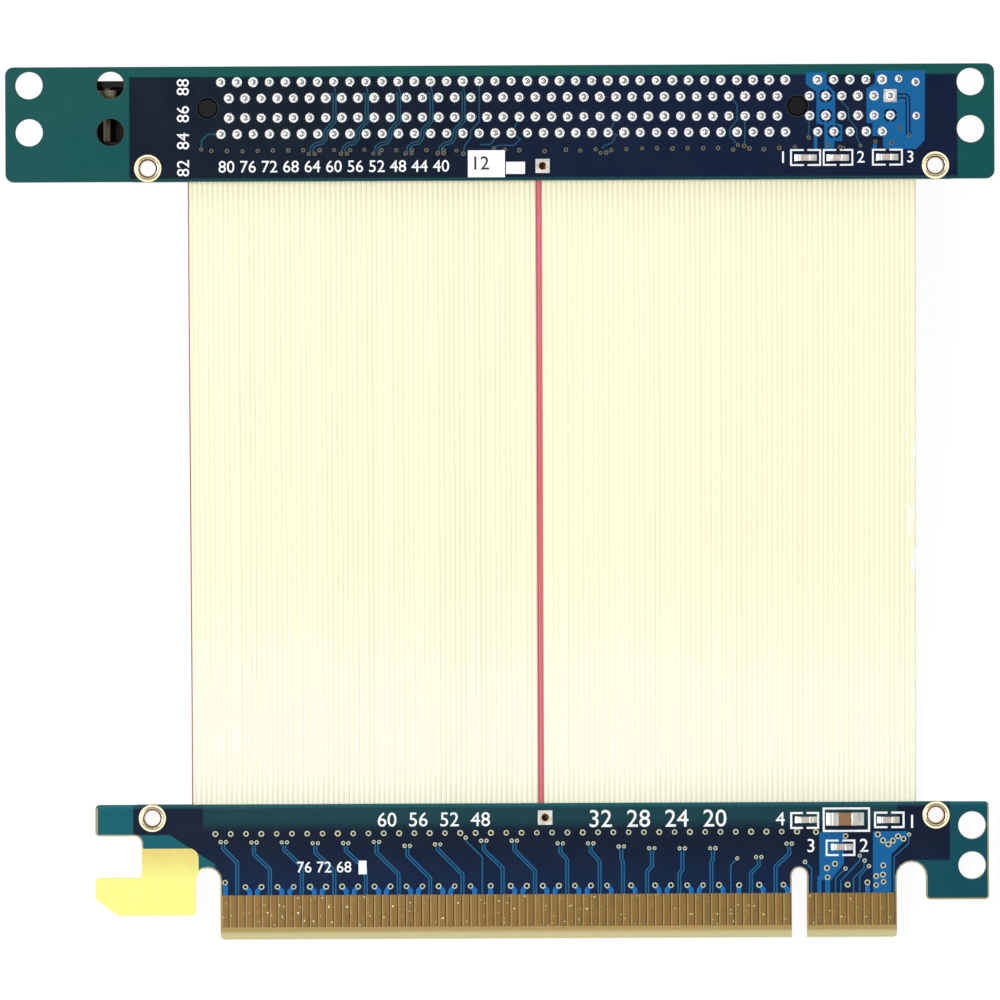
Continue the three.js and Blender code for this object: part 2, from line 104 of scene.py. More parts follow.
def rgb(red, green, blue):
    """A colour in the screen's numbers, 0 to 255, as light."""
    shares = [part / 255 for part in (red, green, blue)]
    return (*[s / 12.92 if s < 0.04045 else ((s + 0.055) / 1.055) ** 2.4 for s in shares], 1)


def step(value, low, high):
    """0 below low, 1 above high, and smooth between them."""
    return value.node(
        "ShaderNodeMapRange",
        {"interpolation_type": "SMOOTHSTEP"},
        {"Value": value, "From Min": low, "From Max": high},
    )


def mixed(share, first, second):
    return share.node("ShaderNodeMix", {"data_type": "RGBA"}, {0: share, 6: first, 7: second}, output=2)


world = bpy.data.worlds.new("studio")
world.use_nodes = True
world.node_tree.nodes.clear()
ink = Shade(world.node_tree)
direction = ink.node("ShaderNodeTexCoord", output=0)
height = ink.node("ShaderNodeSeparateXYZ", None, {0: direction}, output=2)
strengths = (1.6, 0.12, 1.02)  # from the sides, from overhead, and as the camera sees it
skies = [ink.node("ShaderNodeBackground", None, {"Color": (1, 1, 1, 1), "Strength": s}) for s in strengths]
sky = ink.node("ShaderNodeMixShader", None, {0: step(height, 0.0, 0.95), 1: skies[0], 2: skies[1]})
seen_by_camera = ink.node("ShaderNodeLightPath", output=0)
sky = ink.node("ShaderNodeMixShader", None, {0: seen_by_camera, 1: sky, 2: skies[2]})
ink.node("ShaderNodeOutputWorld", None, {"Surface": sky})
bpy.context.scene.world = world

lamp = link(bpy.data.objects.new("lamp", bpy.data.lights.new("lamp", "AREA")))
lamp.data.shape = "DISK"
lamp.data.size = 0.5
lamp.data.energy = 9.2
lamp.location = (-0.55, 0.05, 1.0)
lamp.rotation_euler = (Vector((0, 0, 0)) - lamp.location).to_track_quat("-Z", "Y").to_euler()


# The white table under the cable. It shows as white and keeps a faint shadow.
def reworked(mesh, change):
    """The mesh after a change, with its faces turned outward."""
    work = bmesh.new()
    work.from_mesh(mesh)
    change(work)
    bmesh.ops.recalc_face_normals(work, faces=work.faces)
    work.to_mesh(mesh)
    work.free()
    return mesh


def welded(work):
    bmesh.ops.remove_doubles(work, verts=work.verts, dist=1e-7)


def surface(name, points, faces=()):
    """A mesh from points in millimetres."""
    mesh = bpy.data.meshes.new(name)
    mesh.from_pydata([(x / 1000, y / 1000, z / 1000) for x, y, z in points], [], faces)
    return mesh


def solid(name, points, faces):
    return link(bpy.data.objects.new(name, reworked(surface(name, points, faces), welded)))


def material(name, describe, shader="ShaderNodeBsdfPrincipled"):
    """A material whose shader has the sockets that describe returns."""
    made = bpy.data.materials.new(name)
    made.use_nodes = True
    made.node_tree.nodes.clear()
    ink = Shade(made.node_tree)
    ink.node("ShaderNodeOutputMaterial", None, {"Surface": ink.node(shader, None, describe(ink))})
    return made


def table_white(ink):
    camera_ray, glossy_ray, through_ray = (ink.node("ShaderNodeLightPath", output=kind) for kind in (0, 3, 6))
    rays = camera_ray + glossy_ray + through_ray
    seen = ink.node("ShaderNodeMath", {"operation": "MINIMUM"}, {0: rays, 1: 1.0})
    glow = ink.node("ShaderNodeEmission", None, {"Strength": 0.945})
    shaded = ink.node("ShaderNodeBsdfDiffuse", None, {"Color": rgb(85, 85, 85)})
    pale = ink.node("ShaderNodeBsdfDiffuse", None, {"Color": rgb(225, 225, 225)})
    return {0: seen, 1: pale, 2: ink.node("ShaderNodeAddShader", None, {0: glow, 1: shaded})}


far, below = 3000, -0.2
corners = [(-far, -far, below), (far, -far, below), (far, far, below), (-far, far, below)]
table = solid("table", corners, [(0, 1, 2, 3)])
table.data.materials.append(material("table_white", table_white, "ShaderNodeMixShader"))


# The slot board's laminate: pale glass fibre 1.57 mm thick, routed to a long strip with six screw
# holes, and drilled for the rivets, the slot's pegs and one plated hole.
def sliced(work, point, normal, clear=False):
    """The new edges of a mesh cut at a plane. What lies beyond it goes where clear is set."""
    geometry = [*work.verts, *work.edges, *work.faces]
    cut = bmesh.ops.bisect_plane(work, geom=geometry, plane_co=point, plane_no=normal, clear_outer=clear)
    return [e for e in cut["geom_cut"] if isinstance(e, bmesh.types.BMEdge)]


def outlines(node, level):
    """The closed lines, in millimetres, where a CAD node is cut level. Round ones come back rounder."""
    work = bmesh.new()
    work.from_mesh(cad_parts[node].data)
    welded(work)
    edges = set(sliced(work, (0, 0, level / 1000), (0, 0, 1)))
    loops = []
    while edges:
        edge = edges.pop()
        start, at = edge.verts
        loop = [start.co.copy(), at.co.copy()]
        while at is not start:
            edge = next(e for e in at.link_edges if e in edges)
            edges.discard(edge)
            at = edge.other_vert(at)
            if at is not start:
                loop.append(at.co.copy())
        flat = [(1000 * p.x, 1000 * p.y) for p in loop]
        corners = [
            p
            for before, p, after in zip(flat[-1:] + flat[:-1], flat, flat[1:] + flat[:1])
            if abs((p[0] - before[0]) * (after[1] - p[1]) - (p[1] - before[1]) * (after[0] - p[0])) > 1e-5
        ]
        x, y = (sum(part) / len(corners) for part in zip(*corners))
        radii = [math.hypot(px - x, py - y) for px, py in corners]
        if len(corners) > 11 and max(radii) - min(radii) < 0.02:
            corners = ring(x, y, 2 * max(radii))
        loops.append(corners)
    work.free()
    return loops


def ring(x, y, diameter, sides=40):
    angles = [2 * math.pi * n / sides for n in range(sides)]
    return [(x + diameter / 2 * math.cos(a), y + diameter / 2 * math.sin(a)) for a in angles]


def plate(name, loops, low, high, edge=0.0, inset=0.0):
    """A flat plate between two levels. Loops inside its outline are holes."""
    curve = bpy.data.curves.new(name, "CURVE")
    curve.dimensions = "2D"
    curve.fill_mode = "BOTH"
    curve.extrude = (high - low) / 2000 - edge / 1000
    curve.bevel_depth = edge / 1000
    curve.bevel_resolution = 1
    curve.offset = -(edge + inset) / 1000
    for loop in loops:
        spline = curve.splines.new("POLY")
        spline.points.add(len(loop) - 1)
        for point, (x, y) in zip(spline.points, loop):
            point.co = (x / 1000, y / 1000, 0, 1)
        spline.use_cyclic_u = True
    return from_curve(curve, Matrix.Translation((0, 0, (low + high) / 2000)))


def from_curve(curve, place):
    """A curve or lettering turned into a mesh, put in its place."""
    drawn = link(bpy.data.objects.new(curve.name, curve))
    bpy.context.view_layer.update()
    mesh = bpy.data.meshes.new_from_object(drawn.evaluated_get(bpy.context.evaluated_depsgraph_get()))
    name = curve.name
    bpy.data.objects.remove(drawn)
    bpy.data.curves.remove(curve)
    mesh.transform(place)
    mesh.name = name
    return link(bpy.data.objects.new(name, reworked(mesh, welded)))


def dress(obj, look, stands_for=()):
    """The object's material, record slot and the CAD nodes that it stands for."""
    obj.data.materials.clear()
    obj.data.materials.append(look)
    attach(obj, "cable")
    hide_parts(*stands_for)
    return obj


def spot(ink):
    """The place on the piece, in metres."""
    return ink.node("ShaderNodeTexCoord", output=3)


def parts(place):
    return [place.node("ShaderNodeSeparateXYZ", None, {0: place}, output=n) for n in range(3)]


def noise(place, scale, detail, roughness=0.5):
    sockets = {"Vector": place, "Scale": scale, "Detail": detail, "Roughness": roughness}
    return place.node("ShaderNodeTexNoise", None, sockets)


def laminate(ink):
    """Pale yellow glass fibre. Its plies show as fine lines on a cut edge, its weave on a face."""
    place = spot(ink)
    x, y, z = parts(place)
    plies = ink.node("ShaderNodeMath", {"operation": "SINE"}, {0: z * 34000})
    cloud = noise(place, 900.0, 4.0)
    tip = mixed(step(y, -0.0531, -0.0537), rgb(172, 146, 90), rgb(204, 194, 144))
    hook_tint = mixed(step(y, -0.0432, -0.0475), rgb(234, 214, 122), rgb(252, 250, 140))
    hook = (1 - step(x, -0.0374, -0.0372)) * (1 - step(y, -0.0428, -0.0426))
    tint = mixed(hook, mixed(step(y, -0.0486, -0.0488), rgb(166, 158, 124), tip), hook_tint)
    rim = rgb(52, 72, 64)  # the slot board's cut edge, which shows dim
    tint = mixed(step(y, -0.0379, -0.0377), tint, rim)
    return {
        "Base Color": mixed(0.04 * plies + 0.16 * cloud, tint, rgb(120, 108, 62)),
        "Roughness": 0.55,
        "Specular IOR Level": 0.3,
    }


def corners_of(node):
    """A CAD node's lowest and highest corner in millimetres."""
    return [[1000 * part for part in corner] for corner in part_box(node)]


(_, riser_edge, riser_back), (_, riser_top, _) = corners_of("riser_board")
_, (slot_right, _, riser_face) = corners_of("slot_housing")
slot_y = riser_top - 5.18
inner_row, outer_row = 1.22, 3.22
contacts = range(1, 83)
last_before_key = 11


def contact_x(number):
    """Contacts lie 1 mm apart, with room for two at the key."""
    return slot_right - 3 - (number - 1) - (2 if number > last_before_key else 0)


laminate_look = material("laminate", laminate)
riser_loops = outlines("riser_board", (riser_back + riser_face) / 2)
riser_core = plate("riser_laminate", riser_loops, riser_back, riser_face, 0.04)
dress(riser_core, laminate_look, stands_for=["riser_board"])


# Its green solder mask, a thin film on both faces that stops just short of every cut edge. Where a
# copper plane lies inside the board the film looks navy, and at the margins green.
def bumps(height, strength, distance):
    sockets = {"Strength": strength, "Distance": distance, "Height": height}
    return height.node("ShaderNodeBump", None, sockets)


def film(ink, tint):
    """Satin film over copper, with faint dust and an uneven coat."""
    place = spot(ink)
    dust = noise(place, 260.0, 5.0, 0.65)
    orange_peel = noise(place, 1500.0, 2.0)
    bump = bumps(orange_peel, 0.12, 0.00002)
    return {
        "Base Color": mixed(0.1 * dust, tint, rgb(60, 84, 96)),
        "Roughness": 0.2 + 0.12 * dust,
        "Specular IOR Level": 0.16,
        "Normal": bump,
    }


def film_look(name, *tint):
    return material(name, lambda ink: film(ink, rgb(*tint)))


def riser_film(ink):
    x, y = (1000 * part for part in parts(spot(ink))[:2])
    inside = step(x, -46.1, -45.8) * (1 - step(x, 56.6, 56.9)) * (1 - step(y, 52.85, 53.15))
    edge = 1 - step(y, riser_edge + 0.25, riser_edge + 0.5)
    green = mixed(step(y, 44, 53.6), rgb(14, 81, 79), rgb(18, 82, 78))
    navy = mixed(step(x, -20, 20), rgb(11, 21, 38), rgb(13, 24, 52))
    tint = mixed(inside, green, navy)
    return film(ink, mixed(edge * inside, tint, rgb(18, 66, 74)))


film_thick, film_sunk = 0.03, 0.01


def film_levels(back, face):
    """Where the films on a board's two faces begin."""
    return ("", face - film_sunk), ("_back", back + film_sunk - film_thick)


riser_mask_look = material("riser_mask", riser_film)
for side, low in film_levels(riser_back, riser_face):
    mask = plate(f"riser_mask{side}", riser_loops, low, low + film_thick, inset=0.05)
    dress(mask, riser_mask_look)


# Copper tracks and pours of the slot board, 0.03 mm high under the film. Each pair of tracks leaves
# two of the slot's pins, runs down side by side and ends in two vias.
def tracks(name, routes, width, low, high):
    """Flat-topped strips. A route is a path and how far the strip lies to its left."""
    points, faces = [], []
    for path, aside in routes:
        line = [Vector(place) for place in path]
        start = len(points)
        ways = [(after - here).normalized() for here, after in zip(line, line[1:])]
        for here, before, after in zip(line, ways[:1] + ways, ways + ways[-1:]):
            across = Vector((-before.y - after.y, before.x + after.x)).normalized()
            reach = 1 / max(across.dot(Vector((-before.y, before.x))), 0.5)
            for side, level in ((-1, low), (-0.7, high), (0.7, high), (1, low)):
                point = here + across * reach * (aside + side * width / 2)
                points.append((point.x, point.y, level))
        last = len(points) - 4
        for at in range(start, last, 4):
            faces += [(at + n, at + (n + 1) % 4, at + 4 + (n + 1) % 4, at + 4 + n) for n in range(4)]
        faces += [(start, start + 1, start + 2, start + 3), (last, last + 1, last + 2, last + 3)]
    return solid(name, points, faces)


track_look = film_look("track_film", 30, 80, 104)
pour_look = film_look("pour_film", 20, 98, 156)
riser_routes = []
for number in (52, 56, 60, 64, 68):
    x = contact_x(number)
    run = [(x + 0.1, 50.9), (x + 0.1, 47.4), (x - 1.0, 46.25), (x - 1.05, 45.3), (x - 1.45, 44.75)]
    run += [(x - 2.3, 44.55), (x - 2.75, 44.15), (x - 2.8, 43.6)]
    riser_routes += [(run, 0.17), (run, -0.17)]
    riser_routes.append(([(x, slot_y + outer_row), (x + 0.2, 50.95)], 0))
    riser_routes.append(([(x - 1, slot_y + inner_row), (x - 0.1, 50.95)], 0))
riser_routes += [
    (path, 0)
    for path in (
        [(-34.6, 45.9), (-36.2, 45.87), (-36.98, 45.1), (-37.03, 44.1)],
        [(-2.52, 52.3), (-2.54, 47.3), (-3.6, 46.2), (-3.65, 45.2), (-4.35, 44.4), (-4.5, 43.5)],
        [(2.49, 47.8), (1.45, 45.9), (2.55, 45.1), (1.75, 44.35), (-0.2, 44.35), (-0.7, 44.0)],
        [(-0.5, 45.8), (-0.51, 45.3), (-1.13, 44.46), (-2.46, 44.46)],
        [(14.5, 47.8), (13.6, 45.9), (14.5, 45.6), (13.9, 44.6), (12.86, 44.2), (12.75, 43.8)],
        [(28.43, 50.3), (28.98, 49.85), (29.46, 49.2), (29.46, 47.4)]
        + [(28.52, 46.3), (28.52, 45.4), (29.51, 44.3)],
        [(30.41, 47.8), (30.35, 44.3)],
        [(38.4, 47.8), (38.3, 45.3)],
        [(42.4, 50.3), (42.4, 49.6), (43.2, 48.7), (43.3, 47.4)]
        + [(44.24, 46.24), (44.3, 45.1), (44.72, 44.13)],
    )
]
riser_tracks = tracks("riser_tracks", riser_routes, 0.2, riser_face + 0.01, riser_face + 0.045)
dress(riser_tracks, track_look)

joints = {
    n: [(contact_x(n), slot_y + side * (inner_row if n % 2 else outer_row)) for side in (1, -1)]
    for n in contacts
}
pour_a = [(37.96, 53.24), (40.55, 53.24), (40.55, 51.79), (41.6, 50.79), (41.6, 46.9), (42.46, 46.7)]
pour_a += [(42.46, 44.7), (41.46, 44.7), (41.46, 43.7), (40.25, 43.7), (40.25, 46.7), (39.27, 46.92)]
pour_a += [(39.27, 50.8), (37.96, 51.8)]
pour_b = [(46.55, 53.45), (52.75, 53.45), (52.65, 44.76), (51.65, 43.68), (47.9, 43.68), (47.5, 44.1)]
pour_b += [(47.5, 45.3), (46.22, 45.3), (46.22, 46.9), (45.47, 46.9), (45.47, 51.2), (46.55, 51.87)]
strip_a = [(38.92, 45.37), (39.37, 45.37), (39.37, 43.7), (38.92, 43.7)]
strip_b = [(46.25, 44.3), (46.75, 44.3), (46.75, 43.7), (46.25, 43.7)]


def holds(loop, x, y, room):
    """Whether a loop has the point inside it, and the room around it."""
    inside = False
    for (ax, ay), (bx, by) in zip(loop, loop[1:] + loop[:1]):
        dx, dy = bx - ax, by - ay
        if (ay > y) != (by > y) and x < ax + (y - ay) * dx / dy:
            inside = not inside
        along = max(0, min(1, ((x - ax) * dx + (y - ay) * dy) / (dx**2 + dy**2)))
        if math.hypot(ax + along * dx - x, ay + along * dy - y) < room:
            return False
    return inside


pours = []
for outline in (pour_a, pour_b):
    reliefs = [place for pair in joints.values() for place in pair if holds(outline, *place, 1.0)]
    pours.append(([outline, *[ring(x, y, 1.75, 20) for x, y in reliefs]], reliefs))
for number, (loops, reliefs) in enumerate([*pours, ([strip_a], []), ([strip_b], [])], 1):
    poured = plate(f"riser_pour_{number}", loops, riser_face + 0.005, riser_face + 0.03)
    dress(poured, pour_look)
spokes = [
    ([(x - dx, y - dy), (x + dx, y + dy)], 0)
    for _, reliefs in pours
    for x, y in reliefs
    for dx, dy in ((0.92, 0), (0, 0.92))
]
dress(tracks("riser_spokes", spokes, 0.34, riser_face, riser_face + 0.031), pour_look)

gap_look = film_look("gap_film", 14, 30, 66)
first_pad = (contact_x(1), slot_y + 1.22)
first_way = [(first_pad[0] + 0.7, 50.25), (50.35, 50.25), (50.6, 50.0), (50.62, 45.9), (50.75, 45.4)]
dress(tracks("riser_first_gap", [(first_way, 0)], 0.8, riser_face + 0.02, riser_face + 0.036), gap_look)
dress(tracks("riser_first_track", [(first_way, 0)], 0.3, riser_face + 0.02, riser_face + 0.05), pour_look)


# The slot's 164 soldered pins: a bright fillet of solder round each pin, sunk a little beside it,
# and the pin's flat end. Three plain domes of solder fill ground holes at the right. No two are alike.
def lathe(name, profile, sides):
    """A turned shape. Profile points are radius and height."""
    turns = [2 * math.pi * n / sides for n in range(sides)]
    points = [(r * math.cos(a), r * math.sin(a), z) for a in turns for r, z in profile]
    rows = len(profile)
    faces = [
        (n * rows + m, (n + 1) % sides * rows + m, (n + 1) % sides * rows + m + 1, n * rows + m + 1)
        for n in range(sides)
        for m in range(rows - 1)
    ]
    made = solid(name, points, faces)
    made.data.shade_smooth()
    return made


def repeater():
    """Copies of a shape on every point, each a little different in size, turn and tint."""
    tree = bpy.data.node_groups.new("copies_on_points", "GeometryNodeTree")
    inputs = ("Geometry", "Object", "Float", "Float", "Int")
    for label, kind in zip(("Points", "Shape", "Size spread", "Turn spread", "Seed"), inputs):
        tree.interface.new_socket(label, in_out="INPUT", socket_type=f"NodeSocket{kind}")
    tree.interface.new_socket("Geometry", in_out="OUTPUT", socket_type="NodeSocketGeometry")
    ink = Shade(tree)
    places, original, wider, turned, seed = (ink.node("NodeGroupInput", output=n) for n in range(5))
    shape = ink.node("GeometryNodeObjectInfo", None, {"Object": original}, output=4)
    draws = (
        {2: 1 - wider, 3: 1 + wider, 8: seed},
        {2: 0 - turned, 3: turned, 8: seed + 7},
        {2: 0.0, 3: 1.0, 8: seed + 3},
    )
    size, turn, tint = (ink.node("FunctionNodeRandomValue", None, draw, output=1) for draw in draws)
    turn = ink.node("ShaderNodeCombineXYZ", None, {2: turn})
    sockets = {"Points": places, "Instance": shape, "Rotation": turn, "Scale": size}
    copies = ink.node("GeometryNodeInstanceOnPoints", None, sockets)
    stored = ink.node(
        "GeometryNodeStoreNamedAttribute",
        {"data_type": "FLOAT", "domain": "INSTANCE"},
        {"Geometry": copies, "Name": "tint", "Value": tint},
    )
    real = ink.node("GeometryNodeRealizeInstances", None, {"Geometry": stored})
    ink.node("NodeGroupOutput", None, {0: real})
    return tree


copies_on_points = repeater()


def repeated(name, shape, places, size_spread=0.0, turn_spread=0.0, seed=1):
    """One mesh with a copy of shape at each place."""
    base = link(bpy.data.objects.new(name, surface(name, places)))
    copies = base.modifiers.new("copies", "NODES")
    copies.node_group = copies_on_points
    sockets = [s for s in copies_on_points.interface.items_tree if s.in_out == "INPUT"]
    for socket, value in zip(sockets[1:], (shape, size_spread, turn_spread, seed)):
        copies[socket.identifier] = value
    bpy.context.view_layer.update()
    mesh = bpy.data.meshes.new_from_object(base.evaluated_get(bpy.context.evaluated_depsgraph_get()))
    bpy.data.objects.remove(base)
    bpy.data.objects.remove(shape)
    mesh.name = name
    return link(bpy.data.objects.new(name, mesh))


def solder(ink):
    """Bright tin alloy, a little frosted."""
    frost = noise(spot(ink), 3200.0, 3.0)
    bump = bumps(frost, 0.1, 0.00004)
    return {
        "Base Color": mixed(frost, rgb(226, 226, 222), rgb(253, 253, 252)),
        "Metallic": 1.0,
        "Roughness": 0.16 + 0.16 * frost,
        "Normal": bump,
    }


solder_look = material("solder", solder)
fillet = [(0.66, 0), (0.64, 0.05), (0.5, 0.17), (0.36, 0.3), (0.31, 0.31), (0.25, 0.24), (0.21, 0.25)]
pin = [(0.2, 0.62), (0.15, 0.67), (0, 0.67)]
places = [(x, y, riser_face) for pair in joints.values() for x, y in pair]
dress(repeated("riser_joints", lathe("joint", fillet + pin, 12), places, 0.06, 3.1, 4), solder_look)
dome = [(0.52, 0), (0.46, 0.12), (0.3, 0.24), (0.12, 0.26), (0, 0.22)]
places = [(49.48, 52.4, riser_face), (51.57, 52.0, riser_face), (51.63, 47.8, riser_face)]
dress(repeated("riser_ground_joints", lathe("dome", dome, 12), places, 0.1, 3.1, 5), solder_look)


# Vias, small plated holes under the film: a faint raised ring round a dark disc of painted shade where the hole
# lies. The square pad at contact one is tinned, and so is the one round the larger plated hole below it.
def via(name, outer, inner):
    return lathe(name, [(outer, 0), (outer - 0.03, 0.05), (inner + 0.02, 0.05), (inner, 0.0)], 14)


# A thin dark disc over a via's hole: painted shade where the hole lies.
def centre(name, inner):
    return lathe(name, [(0, 0.028), (inner + 0.01, 0.028), (inner + 0.01, 0.0)], 10)


def uneven(name, dark, pale, grain=1400.0, rough=0.35, metallic=0.0):
    """A material for a small surface, clouded between two colours."""

    def describe(ink):
        cloud = noise(spot(ink), grain, 3.0)
        tint = mixed(cloud, rgb(*dark), rgb(*pale))
        return {"Base Color": tint, "Roughness": rough + 0.15 * cloud, "Metallic": metallic}

    return material(name, describe)


ring_look = film_look("via_ring", 116, 112, 88)
# Near black for painted shade: in the vias' holes and along the fingers' sides.
painted_shade_look = uneven("via_dark", (10, 10, 12), (22, 22, 24), rough=0.6)
riser_vias = [
    (-37.03, 44), (-35.77, 43.82), (-33.85, 43.8), (-31.92, 43.75), (-30.02, 43.8), (-28.15, 43.83),
    (-26.24, 43.83), (-24.37, 43.86), (-22.33, 43.85), (-20.56, 43.86), (-18.55, 43.85), (-16.8, 43.87),
    (-14.68, 43.82), (-12.85, 43.81), (-10.86, 43.8), (-9.11, 43.81), (-6.97, 43.78), (-5.39, 43.73),
    (-4.51, 43.34), (0.62, 43.79), (2.43, 43.74), (-0.72, 43.98), (5.55, 43.6), (8.21, 43.76),
    (9.97, 43.67), (11.87, 43.82), (12.5, 43.37), (13.18, 43.41), (13.8, 43.69), (15.69, 43.81),
    (17.63, 43.92), (19.5, 43.91), (21.39, 43.86), (23.28, 43.9), (25.21, 43.89), (27.06, 43.92),
    (28.93, 43.71), (29.53, 44.25), (30.3, 44.15), (30.95, 43.84), (32.72, 43.72), (34.64, 43.89),
    (36.59, 43.99), (38.3, 45.16), (40.69, 44.3), (42.17, 43.92), (42.57, 43.85), (44.72, 44.13),
    (46.56, 44.61), (48.55, 44.49), (49.56, 46.32), (50.77, 45.37),
]
riser_vias += [(contact_x(n) - 2.75 + side * 0.36, 43.4) for n in (52, 56, 60, 64, 68) for side in (1, -1)]
places = [(x, y, riser_face + 0.012) for x, y in riser_vias]
dress(repeated("riser_vias", via("via", 0.27, 0.14), places, 0.1, 3, 2), ring_look)
dress(repeated("riser_via_holes", centre("centre", 0.14), places), painted_shade_look)


def square(x, y, side):
    h = side / 2
    return [(x - h, y - h), (x + h, y - h), (x + h, y + h), (x - h, y + h)]


def tinned(ink):
    wave = noise(spot(ink), 1200.0, 3.0)
    bump = bumps(wave, 0.35, 0.0001)
    return {
        "Base Color": mixed(wave, rgb(225, 222, 210), rgb(255, 255, 250)),
        "Metallic": 0.75,
        "Roughness": 0.2 + 0.3 * wave,
        "Normal": bump,
    }


tinned_look = material("tinned", tinned)
copper_look = uneven("copper_wall", (160, 104, 56), (196, 140, 84), metallic=1.0)
plated_x = contact_x(1) - 43.14


def plated_hole(board, y, side, back, face):
    """A tinned square pad on a board's face, and the copper wall of the hole through it."""
    loops = [square(plated_x, y, side), ring(plated_x, y, 1.0)]
    dress(plate(f"{board}_plated_pad", loops, face, face + 0.06, 0.02), tinned_look)
    wall = [(0.51, 0), (0.51, 1.6), (0.42, 1.62), (0.4, 1.55), (0.4, 0.02), (0.51, 0)]
    sleeve = lathe(f"{board}_plated_hole", [(r, back + z) for r, z in wall], 24)
    sleeve.data.transform(Matrix.Translation((plated_x / 1000, y / 1000, 0)))
    dress(sleeve, copper_look)


plated_hole("riser", riser_edge + 1.77, 1.75, riser_back, riser_face)
pad = plate("riser_first_pad", [square(*first_pad, 1.6)], riser_face, riser_face + 0.06, 0.02)
dress(pad, tinned_look)


# White print on the slot board: frames round the capacitors, and plain pin numbers where such a
# board carries its print.
def lettering(name, text, x, y, size, turn=0.0, level=0.0):
    """Printed figures, x and y at the middle of the line, size the height of a figure."""
    font = bpy.data.curves.new(name, "FONT")
    font.body = text
    font.size = size / 1000 / 0.72
    font.align_x = "CENTER"
    font.align_y = "CENTER"
    font.resolution_u = 3
    font.offset = 0.000008
    font.extrude = 0.00001
    place = Matrix.Translation((x / 1000, y / 1000, level / 1000 + 0.00003)) @ Matrix.Rotation(turn, 4, "Z")
    return from_curve(font, place)


def frame_line(left, low, right, high, gap=0.0):
    """A printed frame as routes, open in the middle of its long sides by gap."""
    x = (left + right) / 2
    if not gap:
        return [([(x, high), (left, high), (left, low), (right, low), (right, high), (x, high)], 0)]
    return [
        ([(near, high), (side, high), (side, low), (near, low)], 0)
        for side, near in ((left, x - gap / 2), (right, x + gap / 2))
    ]


print_look = uneven("white_print", (234, 238, 242), (255, 255, 255), 2400.0, 0.5)
boxes = [(36.1, 41.75, 39.7, 43.6), (40.15, 41.75, 43.7, 43.6), (46.25, 41.75, 49.85, 43.6)]
routes = [line for box in boxes for line in frame_line(*box, 0.45)]
lines = tracks("riser_print_frames", routes, 0.24, riser_face + 0.01, riser_face + 0.055)
dress(lines, print_look)
for name, text, x, y, size, turn in (
    ("riser_print_rows", "82  84  86  88", -39.2, 46.7, 1.55, math.pi / 2),
    ("riser_print_pins", "80 76 72 68 64 60 56 52 48 44 40", -20.6, 41.75, 1.5, 0),
    ("riser_print_1", "1", 35.1, 42.65, 1.5, 0),
    ("riser_print_2", "2", 44.75, 42.65, 1.5, 0),
    ("riser_print_3", "3", 50.9, 42.65, 1.5, 0),
):
    dress(lettering(name, text, x, y, size, turn, riser_face), print_look)


# The card slot: glass-filled black moulding with a card's mouth below, pegs up through the board and
# two cheeks for the latch, joined by a thin shelf with a notch that lets the latch's arm show. A
# gilded spring stands on each side of every contact place.
def moulded(name, dark, pale, gloss=0.42, shine=0.4):
    """Moulded plastic: an even colour with a fine grain and slight flow marks."""

    def describe(ink):
        place = spot(ink)
        flow = noise(place, 120.0, 4.0)
        return {
            "Base Color": mixed(flow, rgb(*dark), rgb(*pale)),
            "Roughness": gloss + 0.15 * flow,
            "Specular IOR Level": shine,
            "Normal": bumps(noise(place, 5200.0, 2.0), 0.25, 0.00002),
        }

    return material(name, describe)


def softened(node, edge, look, segments=2):
    """The CAD node itself, with rounded edges."""
    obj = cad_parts[node]
    obj.data.materials.clear()
    obj.data.materials.append(look)
    weld = obj.modifiers.new("weld", "WELD")
    weld.merge_threshold = 0.000001
    bevel = obj.modifiers.new("round", "BEVEL")
    bevel.width = edge / 1000
    bevel.segments = segments
    bevel.limit_method = "ANGLE"
    bevel.angle_limit = math.radians(40)
    return obj


black_look = moulded("slot_moulding", (8, 9, 10), (16, 17, 19), 0.3, 0.2)
softened("slot_housing", 0.08, black_look, 1)
near_cheek, far_cheek = slot_y - 4.02, slot_y + 2.68
shelf = [(-50.3, near_cheek), (-45.7, near_cheek), (-45.7, far_cheek), (-50.3, far_cheek), (-50.3, 51.5)]
shelf += [(-49.4, 51.5), (-49.4, 47.7), (-50.3, 47.7)]
dress(plate("slot_shelf", [shelf], 7.0, 7.5, 0.05), black_look)


def gold(ink):
    """Hard gold plate, a shade different on every piece, rubbed along its length, with small painted glints."""
    place = spot(ink)
    tint = ink.node("ShaderNodeAttribute", {"attribute_name": "tint"}, output=2)
    x, y, z = parts(place)
    along = ink.node("ShaderNodeCombineXYZ", None, {0: 9000 * x, 1: 700 * y, 2: 700 * z})
    rub = noise(along, 1.0, 4.0)
    glint_spots = noise(place, 2600.0, 1.0)
    # Small pale spots: painted glints.
    bright = step(glint_spots, 0.71, 0.76)
    deep = mixed(tint, rgb(108, 77, 30), rgb(130, 98, 42))
    shown = mixed(rub, deep, rgb(150, 120, 58))
    return {
        "Base Color": mixed(bright, shown, rgb(255, 240, 190)),
        "Metallic": 0.35,
        "Roughness": 0.38 + 0.2 * rub,
        "Specular IOR Level": 0.5,
    }


gold_look = material("gold_plate", gold)
spring = solid(
    "spring",
    [(x, y, z) for x in (-0.23, 0.23) for y in (-0.02, 0.02) for z in (1.3, 9.2)],
    [(0, 1, 3, 2), (4, 6, 7, 5), (0, 4, 5, 1), (2, 3, 7, 6), (0, 2, 6, 4), (1, 5, 7, 3)],
)
places = [(contact_x(n), slot_y + side * 0.58, 0) for n in contacts for side in (1, -1)]
dress(repeated("slot_springs", spring, places, seed=9), gold_look)


# The slot's retention latch, a beige moulded lever on a pin between the cheeks.
beige_look = moulded("latch_moulding", (168, 156, 128), (190, 178, 150))
softened("slot_latch", 0.15, beige_look)


